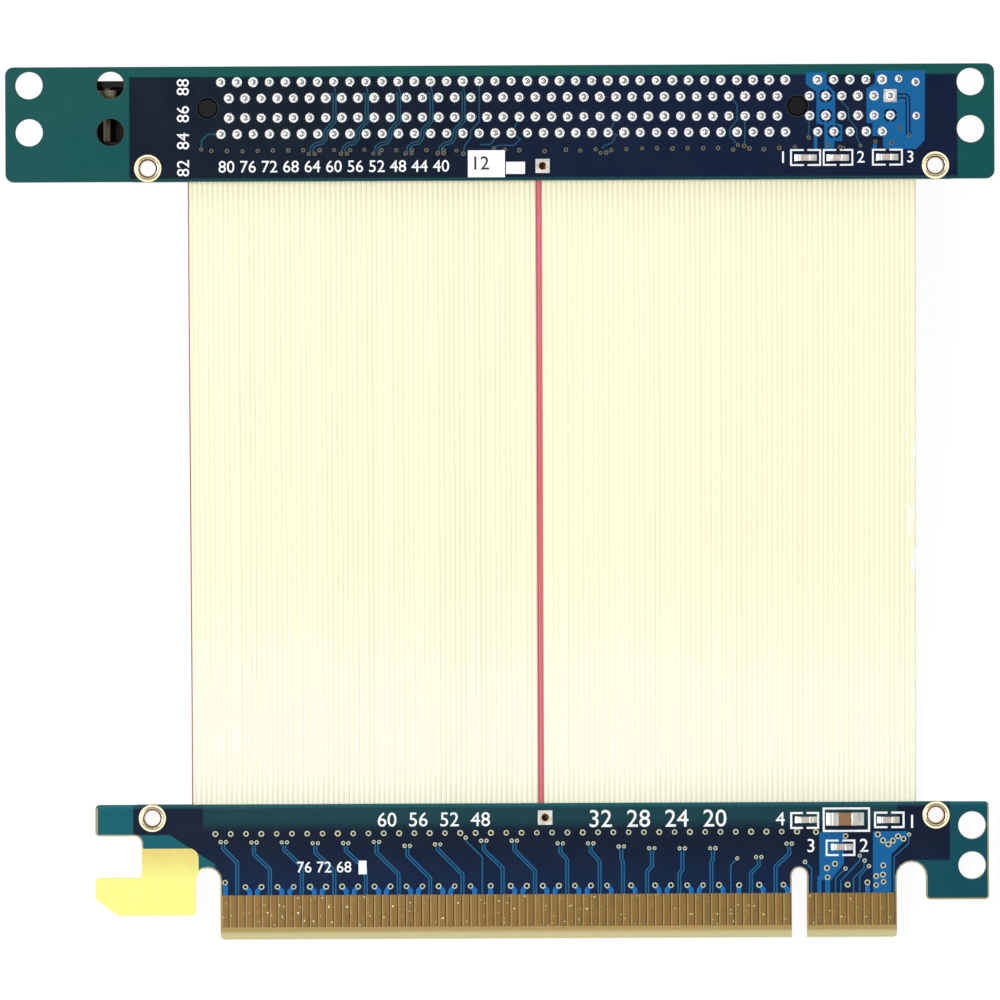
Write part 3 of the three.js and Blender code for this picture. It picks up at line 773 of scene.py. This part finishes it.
# The two moulded bars that clamp the ribbons' ends against the boards.
bar_look = moulded("bar_moulding", (12, 12, 14), (24, 24, 26), 0.5)
for node in ("riser_clamp_bar", "plug_clamp_bar"):
    softened(node, 0.15, bar_look)


# The plug board's laminate, with its tongue chamfered on both faces. The hook that the slot's latch
# holds is left bare and shows bright yellow.
(plug_left, plug_tip, plug_back), (_, plug_edge, plug_face) = corners_of("plug_board")
finger_top, finger_low, chamfer, chamfer_depth = -48.76, -52.75, 1.05, 0.4
tongue_left, tongue_low = -36.3 / 1000, -52.5 / 1000
plug_loops = outlines("plug_board", (plug_back + plug_face) / 2)


def chamfered(work):
    """Thins the tongue's tip towards its edge."""
    line, middle, half = (plug_tip + chamfer) / 1000, (plug_back + plug_face) / 2000, (plug_face - plug_back) / 2
    sliced(work, (0, line, 0), (0, 1, 0))
    for vert in work.verts:
        if vert.co.x > tongue_left and vert.co.y < min(line - 1e-6, tongue_low):
            share = (line - vert.co.y) * 1000 / chamfer * chamfer_depth / half
            vert.co.z = middle + (vert.co.z - middle) * (1 - share)


plug_core = plate("plug_laminate", plug_loops, plug_back, plug_face)
reworked(plug_core.data, chamfered)
dress(plug_core, laminate_look, stands_for=["plug_board"])


# Its solder mask stops short of the cut edges, above the fingers and round the hook. Dark teal where
# the ribbons' wires are soldered behind it, navy over the inner planes and green at both ends.
def larger(first, second):
    return first.node("ShaderNodeMath", {"operation": "MAXIMUM"}, {0: first, 1: second})


def plug_film(ink):
    x, y = (1000 * part for part in parts(spot(ink))[:2])
    ends = step(x, -46.2, -45.95) * (1 - step(x, 55.6, 55.85))
    right = 1 - (1 - step(y, -44.85, -44.6)) * step(x, 50.5, 50.6)
    slant = 0.649 * larger(x + 41.5, 0.0)
    left = larger(step(y + slant, -41.35, -41.1), step(x, -36.1, -35.7))
    green = mixed(step(x, 40, 50), rgb(20, 94, 106), rgb(14, 76, 88))
    navy = mixed(step(y, -48, -42), rgb(14, 32, 64), rgb(16, 25, 46))
    tint = mixed(ends * right * left, green, navy)
    band = step(x, -37.5, -37.2) * (1 - step(x, 48.9, 49.4)) * step(y, -41, -39.2)
    tint = mixed(band, tint, rgb(24, 62, 68))
    sheen = step(y, -38.1, -37.6)
    return film(ink, mixed(0.5 * sheen, tint, rgb(36, 110, 122)))


def cropped(obj, axis, level, way):
    """Cuts away what lies past a level along x (axis 0) or y (axis 1), on the side of way."""
    point, normal = Vector(), Vector()
    point[axis], normal[axis] = level / 1000, way
    reworked(obj.data, lambda work: bmesh.ops.holes_fill(work, edges=sliced(work, point, normal, clear=True)))


def breadth(loop):
    return max(x for x, y in loop) - min(x for x, y in loop)


plug_mask_look = material("plug_mask", plug_film)
outer_loop = max(plug_loops, key=breadth)
mask_loops = [[(x + 0.12 * (x < plug_left + 0.01), y + 0.2 * (y > plug_edge - 0.01)) for x, y in outer_loop]]
for loop in plug_loops:
    if loop is not outer_loop:
        x, y = (sum(part) / len(loop) for part in zip(*loop))
        mask_loops.append(ring(x, y, breadth(loop) - 0.3))
hook_top, hook_side, tab_side = -42.9, -37.93, 50.5
mask_parts = {
    "upper": [(1, hook_top, -1)],
    "lower": [(1, hook_top, 1), (0, hook_side, -1), (1, finger_top, -1)],
    "tab": [(1, finger_top, 1), (0, tab_side, -1)],
}
corner = [(-37.9, -42.88), (-39.1, -42.88), (-38.75, -42.93), (-38.4, -43.12), (-38.1, -43.45)]
corner += [(-37.95, -43.85), (-37.9, -44.1)]
for side, low in film_levels(plug_back, plug_face):
    for part, cuts in mask_parts.items():
        mask = plate(f"plug_mask{side}_{part}", mask_loops, low, low + film_thick, inset=0.2)
        for cut in cuts:
            cropped(mask, *cut)
        dress(mask, plug_mask_look)
    dress(plate(f"plug_mask_corner{side}", [corner], low, low + film_thick), plug_mask_look)


# The fingers: 82 gilded pads on each face, 1 mm apart, with bare laminate between them and a line of painted
# shadow beside each pad.
def pad_shape(name, width, low, high, thick):
    w, points = width / 2, []
    for e, z in ((0, 0), (0.02, thick)):
        points += [(e - w, low + e, z), (w - e, low + e, z), (w - e, high - e, z), (e - w, high - e, z)]
    faces = [(3, 2, 1, 0), (4, 5, 6, 7), (0, 1, 5, 4), (1, 2, 6, 5), (2, 3, 7, 6), (3, 0, 4, 7)]
    return solid(name, points, faces)


for name, level, thick in (("plug_fingers", plug_face, 0.045), ("plug_fingers_back", plug_back, -0.045)):
    places = [(contact_x(n), 0, level) for n in contacts]
    finger = pad_shape("finger", 0.7, finger_low, finger_top + 0.02, thick)
    dress(repeated(name, finger, places, seed=5), gold_look)
    # A dark line beside each pad's right edge: painted shadow.
    finger_side_shadows = [([(x + 0.42, finger_low), (x + 0.42, finger_top)], 0) for x, _, _ in places]
    dress(tracks(f"{name}_grooves", finger_side_shadows, 0.1, level, level + thick * 0.3), painted_shade_look)


# The plug board's copper: pairs of tracks jog from the ribbons' vias down to the fingers, short wide
# stubs join ground vias to theirs, and two pours carry the power at the right.
pairs = [
    (-34.84, -42.1, -42.93, -33.13, -44.68), (-31.01, -42.16, -43.66, -29.05, -45.53),
    (-27.23, -42.17, -43.12, -25.07, -45.2), (-23.38, -42.29, -43.46, -21.02, -45.77),
    (-19.58, -42.3, -43.23, -17.1, -45.63), (-15.75, -42.17, -43.49, -13.0, -46.23),
    (-11.91, -42.68, -43.86, -9.07, -46.7), (-8.12, -42.5, -43.12, -5.05, -46.27),
    (-2.37, -42.07, -43.23, -0.04, -45.5), (1.44, -42.08, -43.25, 3.98, -45.83),
    (7.16, -42.45, -43.51, 7.99, -44.47), (10.95, -42.46, -43.45, 12.04, -44.72),
    (14.76, -42.87, -44.5, 14.95, -44.81), (18.57, -43.1, -45.35, 17.97, -45.98),
    (22.36, -43.13, -45.8, 21.97, -46.28), (26.17, -43.13, -44.47, 25.97, -44.94),
    (31.89, -44.26, -45.29, 30.9, -46.24), (35.68, -42.6, -43.87, 33.97, -45.45),
]
plug_routes, small_vias = [], []
for x, y, bend_y, end_x, end_y in pairs:
    run = [(x, y - 0.35), (x, bend_y), (end_x, end_y), (end_x, finger_top)]
    plug_routes += [(run, 0.165), (run, -0.165)]
    plug_routes += [([(x + side * 0.33, y), (x + side * 0.165, y - 0.4)], 0) for side in (1, -1)]
    small_vias += [(x - 0.33, y), (x + 0.33, y)]
singles = [
    [(-4.63, -41.68), (-4.6, -42.1), (-2.57, -44.1), (-2.59, finger_top)],
    [(29.19, -44.4), (28.92, -44.7), (28.39, -45.27), (28.38, finger_top)],
    [(37.65, -44.9), (38.45, -45.72), (38.43, finger_top)],
    [(42.69, -45.74), (41.44, -46.95), (41.43, finger_top)],
    [(44.47, -44.15), (44.47, -44.74), (42.1, -47.25), (42.09, finger_top)],
    [(45.07, -44.75), (44.97, -45.7), (43.69, -46.93), (43.68, finger_top)],
    [(45.61, -45.45), (44.46, -46.7), (44.45, finger_top)],
    [(50.62, -41.53), (50.56, -42.66), (48.75, -44.3), (48.72, finger_top)],
]
plug_routes += [(path, 0) for path in singles]
small_vias += [path[0] for path in singles]
plug_tracks = tracks("plug_tracks", plug_routes, 0.2, plug_face + 0.01, plug_face + 0.045)
plug_track_look = film_look("plug_track_film", 26, 96, 140)
dress(plug_tracks, plug_track_look)

ground = [(-34.64, -47.16, -34.57), (29.41, -47.75, 29.41), (-1.54, -47.7, -1.54), (45.4, -47.48, 45.45)]
ground += [(x, -47.72, x + 0.55) for x in (-32.1, -28.1, -24.06, -20.05, -16.03, -12.04, -8.03, -4.05)]
ground += [(x, -47.72, x - 0.5) for x in (-30.1, -26.08, -22.05, -18.05, -14.03, -10.04, -6.02)]
ground += [(x, -47.72, x + 0.52) for x in (0.96, 4.96, 8.95, 12.96, 15.95, 18.95, 22.94, 26.92, 31.93, 34.94)]
ground += [(x, -47.72, x - 0.48) for x in (2.96, 6.97, 10.96, 20.93, 24.93)]
stubs = [([(x, y), (end, max(y - 0.55, -48.5)), (end, finger_top)], 0) for x, y, end in ground]
stub_look = film_look("stub_film", 22, 106, 176)
dress(tracks("plug_stubs", stubs, 0.62, plug_face + 0.01, plug_face + 0.04), stub_look)

left_pour = [(39.45, -41.22), (42.52, -41.24), (42.5, -45.1), (40.95, -47.1), (40.76, -47.4)]
left_pour += [(40.76, finger_top), (40.13, finger_top), (40.12, -47.2), (39.67, -47.2), (39.66, finger_top)]
left_pour += [(39.15, finger_top), (39.18, -46.75), (39.43, -46.6)]
right_pour = [(46.12, -41.1), (50.35, -41.12), (50.3, -42.1), (48.42, -44.0), (48.38, finger_top)]
right_pour += [(46.1, finger_top)]
for number, outline in enumerate((left_pour, right_pour), 1):
    poured = plate(f"plug_pour_{number}", [outline], plug_face + 0.005, plug_face + 0.03)
    dress(poured, pour_look)

upper_row = [(-35.82 + 1.9075 * n, -41.1) for n in range(39)] + [(39.03, -41.17)]
right_vias = [(42.71, -41.68), (46.73, -41.5), (47.37, -42.25), (48.61, -42.29), (49.25, -41.74)]
right_vias += [(49.93, -42.07), (48.04, -42.74), (40.37, -45.67), (41.38, -45.14), (40.45, -46.82)]
right_vias += [(42.95, -47.75), (46.5, -46.7), (47.39, -45.35), (47.35, -46.52), (47.43, -47.4)]
right_vias += [(46.5, -47.82)]
bare_ring_look = film_look("bare_ring", 205, 206, 172)
large = [(x, y, plug_face + 0.012) for x, y in upper_row + right_vias + [(x, y) for x, y, _ in ground]]
small = [(x, y, plug_face + 0.012) for x, y in small_vias]
for name, places, outer, inner in (("plug_vias", large, 0.36, 0.2), ("plug_small_vias", small, 0.26, 0.12)):
    dress(repeated(name, via("via", outer, inner), places, 0.07, 3, 6), bare_ring_look)
    # Dark discs of painted shade where the vias' holes lie.
    dress(repeated(f"{name}_holes", centre("centre", inner), places), painted_shade_look)
plated_hole("plug", plug_edge - 1.78, 1.8, plug_back, plug_face)


# White print on the plug board, as on the slot board.
routes = frame_line(40.0, -41.05, 45.65, -38.25)
for box in ((35.95, -40.65, 39.3, -38.8), (46.4, -40.6, 49.95, -38.8), (40.35, -44.05, 43.8, -42.25)):
    routes += frame_line(*box, 0.45)
lines = tracks("plug_print_frames", routes, 0.26, plug_face + 0.02, plug_face + 0.065)
dress(lines, print_look)
block = [(-18, -46.2), (-17, -46.2), (-17, -44.5), (-18, -44.5)]
block = plate("plug_print_block", [block], plug_face + 0.02, plug_face + 0.05)
dress(block, print_look)
for name, text, x, y, size in (
    ("plug_print_left", "60  56  52  48", -8.6, -39.5, 1.8),
    ("plug_print_right", "32  28  24  20", 19.3, -39.5, 2.2),
    ("plug_print_low", "76 72 68", -22.3, -45.35, 1.4),
    ("plug_print_4", "4", 34.6, -39.6, 1.7),
    ("plug_print_1", "1", 51.0, -40.0, 1.7),
    ("plug_print_3", "3", 38.4, -42.95, 1.7),
    ("plug_print_2", "2", 45.0, -42.95, 1.7),
):
    dress(lettering(name, text, x, y, size, 0, plug_face + 0.02), print_look)


# The ribbons: cream PVC moulded round 68 and 74 wires, 0.635 mm apart, clamped at both ends. The
# right one's first wire is red. They sag from the slot board down to the plug board.
def ribbon_cream(ink):
    x, y, _ = parts(spot(ink))
    groove, tint, red, edge_red = (
        ink.node("ShaderNodeAttribute", {"attribute_name": name}, output=2)
        for name in ("groove", "tint", "red", "edge_red")
    )
    along = ink.node("ShaderNodeCombineXYZ", None, {0: 2200 * x, 1: 30 * y})
    streak = noise(along, 1.0, 3.0)
    # The jacket whitens towards the plug board: painted light.
    cream = mixed(step(y, -0.004, -0.034), rgb(250, 247, 213), rgb(255, 255, 232))
    cream = mixed(0.14 * tint + 0.14 * streak, cream, rgb(240, 235, 194))
    # A thin darker line along each valley between wires: painted shade.
    cream = mixed(step(groove, 0.45, 1.0) * (0.1 + 0.6 * tint), cream, rgb(190, 192, 156))
    nicks = ink.node("ShaderNodeCombineXYZ", None, {0: 1900 * x, 1: 210 * y})
    nicks = step(noise(nicks, 1.0, 2.0), 0.56, 0.6)
    worn = step(x, 0.0501, 0.0504) * step(y, -0.0125, -0.009) * (1 - step(y, 0.009, 0.0125))
    cream = mixed(nicks * worn, cream, rgb(255, 255, 255))
    shown = mixed(red, cream, mixed(streak, rgb(204, 84, 100), rgb(222, 118, 126)))
    # Dark red at the edge: the left ribbon's red edge wire, and painted shade in the gap beside the right
    # ribbon's red wire.
    return {
        "Base Color": mixed(edge_red, shown, rgb(150, 40, 60)),
        "Roughness": 0.42 + 0.15 * streak,
        "Specular IOR Level": 0.3,
    }


ribbon_look = material("ribbon_jacket", ribbon_cream)
wire_pitch, jacket, clamp_gap, held = 0.635, 0.325, 0.1, 3.5
riser_ribbon_z = riser_back - clamp_gap - jacket
plug_ribbon_z = plug_back - clamp_gap - jacket
span, drop = riser_edge - plug_edge, riser_ribbon_z - plug_ribbon_z
shares = [0, 0.02] + [n / 16 for n in range(1, 16)] + [0.98, 1]
stations = [(plug_edge - held, plug_ribbon_z)]
stations += [(plug_edge + s * span, plug_ribbon_z + s * s * (3 - 2 * s) * drop) for s in shares]
stations += [(riser_edge + held, riser_ribbon_z)]


valley, shoulder, rise, rib_reach, side_edge = 0.24, 0.25, 0.069, 0.32, 0.14  # half heights, but the reach


def ribbon(node, wires, seed, red_wire=None):
    """A ribbed sheet: a crest over each wire, a valley between two, each wire a little uneven."""
    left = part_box(node)[0].x * 1000
    chance = random.Random(seed)
    tints = [chance.random() for _ in range(wires + 1)]
    lifts = [chance.uniform(-0.02, 0.02) for _ in range(wires)]
    # How dark the painted shade in each valley is: fainter on the right ribbon.
    deep = 1.0 if red_wire is None else 0.72
    columns, marks = [], []
    for wire in range(wires):
        red = 1.0 if wire == red_wire else 0.0
        columns.append((left + wire * wire_pitch, valley, 0))
        marks.append((deep if wire else 0.0, tints[wire], red))
        for share in (0.15, 0.32, 0.5, 0.68, 0.85):
            across = (share - 0.5) * wire_pitch
            tall = shoulder + rise * math.sqrt(1 - (across / rib_reach) ** 2)
            columns.append((left + (wire + share) * wire_pitch, tall, lifts[wire]))
            marks.append((0.0, tints[wire], red))
    columns.append((left + wires * wire_pitch, side_edge, 0))
    marks.append((0.0, 0.5, 0.0))
    # The right ribbon reaches 0.13 mm further left, so that painted shade fills the gap beside its red wire.
    if red_wire == 0:
        columns[0] = (left - 0.13, side_edge, 0)
    wide = len(columns)
    points = []
    for place, (y, z) in enumerate(stations):
        loose = math.sin(math.pi * place / (len(stations) - 1))
        points += [(x, y, z + tall + loose * lift) for x, tall, lift in columns]
        points += [(x, y, z - tall) for x, tall, _ in columns]
    faces = []
    for row in range(len(stations) - 1):
        at, on = row * 2 * wide, (row + 1) * 2 * wide
        for n in range(wide - 1):
            faces.append((at + n, at + n + 1, on + n + 1, on + n))
            faces.append((at + wide + n + 1, at + wide + n, on + wide + n, on + wide + n + 1))
        faces.append((at, on, on + wide, at + wide))
        faces.append((at + wide - 1, at + 2 * wide - 1, on + 2 * wide - 1, on + wide - 1))
    last = (len(stations) - 1) * 2 * wide
    for n in range(wide - 1):
        faces.append((n, wide + n, wide + n + 1, n + 1))
        faces.append((last + n, last + n + 1, last + wide + n + 1, last + wide + n))
    mesh = surface(node, points, faces)
    # Dark red on the first columns: the left ribbon's red edge wire, and painted shade on the right ribbon's
    # widened edge.
    edge = [1.0 if n < (2 if red_wire is None else 1) else 0.0 for n in range(wide)]
    for name, values in zip(("groove", "tint", "red", "edge_red"), (*zip(*marks), edge)):
        attribute = mesh.attributes.new(name, "FLOAT", "POINT")
        attribute.data.foreach_set("value", list(values) * 2 * len(stations))
    mesh.shade_smooth()
    return link(bpy.data.objects.new(f"{node}_jacket", mesh))


for node, wires, seed, red_wire in (("left_ribbon", 68, 3, None), ("right_ribbon", 74, 8, 0)):
    dress(ribbon(node, wires, seed, red_wire), ribbon_look, stands_for=[node])


# Four brass eyelet rivets, each pressed through bar, ribbon side and board and rolled over on the
# board's face into a double rim with a funnel.
def brass(ink):
    wear = noise(spot(ink), 500.0, 3.0)
    _, _, up = parts(ink.node("ShaderNodeNewGeometry", output=1))  # the normal's
    # The pale, nearly white tint is a painted highlight on the rims, and steep faces, the funnel above all, are
    # painted brown as shade.
    tint = mixed(wear, rgb(246, 226, 172), rgb(255, 248, 216))
    return {
        "Base Color": mixed(step(up, 0.62, 0.4), tint, rgb(170, 118, 54)),
        "Metallic": 1.0,
        "Roughness": 0.14 + 0.14 * wear,
    }


brass_look = material("rivet_brass", brass)
for board, side in (("riser", "left"), ("riser", "right"), ("plug", "left"), ("plug", "right")):
    node = f"{board}_rivet_{side}"
    low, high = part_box(node)
    face = riser_face if board == "riser" else plug_face
    foot = low.z * 1000
    profile = [(1.0, foot), (1.6, foot), (1.7, foot + 0.08), (1.715, foot + 0.2), (1.65, foot + 0.3)]
    profile += [(1.28, foot + 0.3), (1.28, face), (1.69, face), (1.715, face + 0.04), (1.69, face + 0.08)]
    profile += [(1.4, face + 0.28), (1.34, face + 0.3), (1.27, face + 0.295), (1.2, face + 0.25)]
    profile += [(1.06, face + 0.02), (1.0, face - 0.2), (0.95, face - 0.7), (0.95, foot + 0.3), (1.0, foot)]
    rivet = lathe(f"{node}_brass", profile, 40)
    rivet.data.transform(Matrix.Translation(((low.x + high.x) / 2, (low.y + high.y) / 2, 0)))
    dress(rivet, brass_look, stands_for=[node])


# Seven chip capacitors: a ceramic body with tinned ends, held by a solder fillet at each end.
def rounded_block(name, low, high, edge):
    """A block with rounded edges between two corners in metres."""
    work = bmesh.new()
    bmesh.ops.create_cube(work, size=1)
    span = high - low
    for vert in work.verts:
        vert.co = low + Vector([(part + 0.5) * length for part, length in zip(vert.co, span)])
    bmesh.ops.bevel(work, geom=work.edges[:], offset=edge / 1000, segments=2, affect="EDGES", profile=0.5)
    mesh = bpy.data.meshes.new(name)
    work.to_mesh(mesh)
    work.free()
    return link(bpy.data.objects.new(name, mesh))


pale_look = uneven("pale_ceramic", (176, 160, 150), (206, 192, 182))
brown_look = uneven("brown_ceramic", (132, 98, 64), (148, 112, 76))
for node in [n for n in sorted(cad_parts) if "capacitor" in n]:
    low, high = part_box(node)
    large_one = high.x - low.x > 0.004
    toe, cap, slot = (0.8, 0.8, "brown_ceramic") if large_one else (0.6, 0.4, "pale_ceramic")
    body_low = Vector((low.x + toe / 1000, low.y + 0.00002, low.z + 0.00002))
    body_high = Vector((high.x - toe / 1000, high.y - 0.00002, high.z - 0.00006))
    body = rounded_block(f"{node}_body", body_low, body_high, 0.05)
    dress(body, brown_look if large_one else pale_look, stands_for=[node])
    for end, way in (("left", 1), ("right", -1)):
        near = body_low.x if way > 0 else body_high.x
        xs = sorted((near, near + way * cap / 1000))
        ends = Vector((xs[0], low.y, low.z)), Vector((xs[1], high.y, high.z))
        dress(rounded_block(f"{node}_{end}_end", *ends, 0.07), tinned_look)
        tall = (high.z - low.z) * 1000
        curve = [(0, 0.75 * tall), (0.15 * toe, 0.42 * tall), (0.4 * toe, 0.2 * tall), (0.95 * toe, 0.02)]
        outline = [(0.1, 0), (0.1, 0.75 * tall), *[(-a, b) for a, b in curve], (-toe, 0)]
        sides = (low.y * 1000 + 0.01, high.y * 1000 - 0.01)
        points = [(near * 1000 + way * a, y, low.z * 1000 + b - 0.02) for y in sides for a, b in outline]
        count = len(outline)
        faces = [tuple(range(count)), tuple(range(2 * count - 1, count - 1, -1))]
        faces += [(n, (n + 1) % count, count + (n + 1) % count, count + n) for n in range(count)]
        dress(solid(f"{node}_{end}_fillet", points, faces), tinned_look)


# The small paper sticker on the slot board, with a plain number in black, and the filled block of
# white print beside it.
paper_look = uneven("white_paper", (244, 244, 246), (253, 252, 255), 3000.0, 0.75)
softened("paper_sticker", 0.03, paper_look)
ink_look = uneven("black_ink", (20, 20, 26), (34, 34, 40), rough=0.6)
(left, low, _), (_, high, top) = corners_of("paper_sticker")
number = lettering("sticker_number", "12", left + 1.5, (low + high) / 2, 1.7, 0, top - 0.02)
dress(number, ink_look)
block = [(0.75, 40.8), (3.1, 40.8), (3.1, 42.3), (0.75, 42.3)]
dress(plate("riser_print_block", [block], riser_face + 0.02, riser_face + 0.05), print_look)


# Behind the boards the ribbons' bare wire ends are soldered to a row of pads just past the bars.
wire_places = []
for node, wires in (("left_ribbon", 68), ("right_ribbon", 74)):
    wire_places += [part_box(node)[0].x * 1000 + (n + 0.5) * wire_pitch for n in range(wires)]
blob = [(0.2, 0), (0.19, -0.1), (0.12, -0.2), (0, -0.24)]
rows = [(x, riser_edge + 3.95, riser_back) for x in wire_places]
rows += [(x, plug_edge - 3.8, plug_back) for x in wire_places]
dress(repeated("wire_joints", lathe("wire_joint", blob, 8), rows, 0.1, 3, 12), solder_look)
dress(repeated("wire_pads", pad_shape("wire_pad", 0.42, -0.35, 0.35, -0.04), rows), tinned_look)
